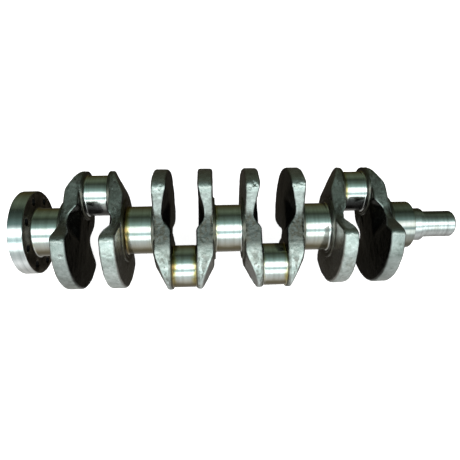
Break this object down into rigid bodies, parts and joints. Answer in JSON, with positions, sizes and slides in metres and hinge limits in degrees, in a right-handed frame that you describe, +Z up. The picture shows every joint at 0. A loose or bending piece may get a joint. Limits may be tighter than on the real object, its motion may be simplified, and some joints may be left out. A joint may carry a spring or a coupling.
{
  "type": "crankshaft",
  "caption": "Forged inline-engine crankshaft with counterweighted webs, ground journals, bolted flywheel flange, pilot bearing and keyed stepped nose.",
  "frame": {"origin": "on the shaft axis in the flywheel flange's outer face", "axes": "+X along the shaft axis from the flange to the nose, +Y towards the throw of the end crankpins, +Z up with the throws level"},
  "size_m": [0.549, 0.1565, 0.1328],
  "materials": {
    "forged_steel": "shot-blasted forged webs with ground bright journals and turned flange and nose",
    "hardened_pin_steel": "ground",
    "key_steel": "dull drawn steel",
    "plug_steel": "dull pressed-in plug",
    "bearing_ring_steel": "polished bearing steel",
    "ball_steel": "lapped",
    "cage_steel": "pressed strip",
    "shield_steel": "pressed shield, matt"
  },
  "bodies": {
    "crank": {"crankshaft_forging": "forged_steel", "flywheel_dowel_pin": "hardened_pin_steel", "timing_gear_key": "key_steel", "pulley_key": "key_steel", "oil_gallery_plug_1": "plug_steel", "oil_gallery_plug_2": "plug_steel", "oil_gallery_plug_3": "plug_steel", "oil_gallery_plug_4": "plug_steel", "pilot_bearing_outer_ring": "bearing_ring_steel", "pilot_shield_front": "shield_steel", "pilot_shield_rear": "shield_steel"},
    "pilot_inner": {"pilot_bearing_inner_ring": "bearing_ring_steel"},
    "pilot_cage": {"pilot_cage_half_front": "cage_steel", "pilot_cage_half_rear": "cage_steel", "pilot_cage_rivets": "cage_steel"},
    "ball_1": {"pilot_ball_1": "ball_steel"},
    "ball_2": {"pilot_ball_2": "ball_steel"},
    "ball_3": {"pilot_ball_3": "ball_steel"},
    "ball_4": {"pilot_ball_4": "ball_steel"},
    "ball_5": {"pilot_ball_5": "ball_steel"},
    "ball_6": {"pilot_ball_6": "ball_steel"},
    "ball_7": {"pilot_ball_7": "ball_steel"},
    "ball_8": {"pilot_ball_8": "ball_steel"}
  },
  "joints": [
    {"name": "pilot_bearing_spin", "type": "hinge", "parent": "crank", "child": "pilot_inner", "pos_m": [0.007, 0, 0], "axis": [1, 0, 0], "continuous": true},
    {"name": "pilot_cage_spin", "type": "hinge", "parent": "crank", "child": "pilot_cage", "pos_m": [0.007, 0, 0], "axis": [1, 0, 0], "continuous": true},
    {"name": "pilot_ball_1_roll", "type": "hinge", "parent": "pilot_cage", "child": "ball_1", "pos_m": [0.007, 0.01425, 0], "axis": [1, 0, 0], "continuous": true},
    {"name": "pilot_ball_2_roll", "type": "hinge", "parent": "pilot_cage", "child": "ball_2", "pos_m": [0.007, 0.01008, 0.01008], "axis": [1, 0, 0], "continuous": true},
    {"name": "pilot_ball_3_roll", "type": "hinge", "parent": "pilot_cage", "child": "ball_3", "pos_m": [0.007, 0, 0.01425], "axis": [1, 0, 0], "continuous": true},
    {"name": "pilot_ball_4_roll", "type": "hinge", "parent": "pilot_cage", "child": "ball_4", "pos_m": [0.007, -0.01008, 0.01008], "axis": [1, 0, 0], "continuous": true},
    {"name": "pilot_ball_5_roll", "type": "hinge", "parent": "pilot_cage", "child": "ball_5", "pos_m": [0.007, -0.01425, 0], "axis": [1, 0, 0], "continuous": true},
    {"name": "pilot_ball_6_roll", "type": "hinge", "parent": "pilot_cage", "child": "ball_6", "pos_m": [0.007, -0.01008, -0.01008], "axis": [1, 0, 0], "continuous": true},
    {"name": "pilot_ball_7_roll", "type": "hinge", "parent": "pilot_cage", "child": "ball_7", "pos_m": [0.007, 0, -0.01425], "axis": [1, 0, 0], "continuous": true},
    {"name": "pilot_ball_8_roll", "type": "hinge", "parent": "pilot_cage", "child": "ball_8", "pos_m": [0.007, 0.01008, -0.01008], "axis": [1, 0, 0], "continuous": true}
  ],
  "couplings": [
    {"joint": "pilot_cage_spin", "follows": "pilot_bearing_spin", "ratio": 0.38158},
    {"joint": "pilot_ball_1_roll", "follows": "pilot_bearing_spin", "ratio": -1.9927},
    {"joint": "pilot_ball_2_roll", "follows": "pilot_bearing_spin", "ratio": -1.9927},
    {"joint": "pilot_ball_3_roll", "follows": "pilot_bearing_spin", "ratio": -1.9927},
    {"joint": "pilot_ball_4_roll", "follows": "pilot_bearing_spin", "ratio": -1.9927},
    {"joint": "pilot_ball_5_roll", "follows": "pilot_bearing_spin", "ratio": -1.9927},
    {"joint": "pilot_ball_6_roll", "follows": "pilot_bearing_spin", "ratio": -1.9927},
    {"joint": "pilot_ball_7_roll", "follows": "pilot_bearing_spin", "ratio": -1.9927},
    {"joint": "pilot_ball_8_roll", "follows": "pilot_bearing_spin", "ratio": -1.9927}
  ]
}
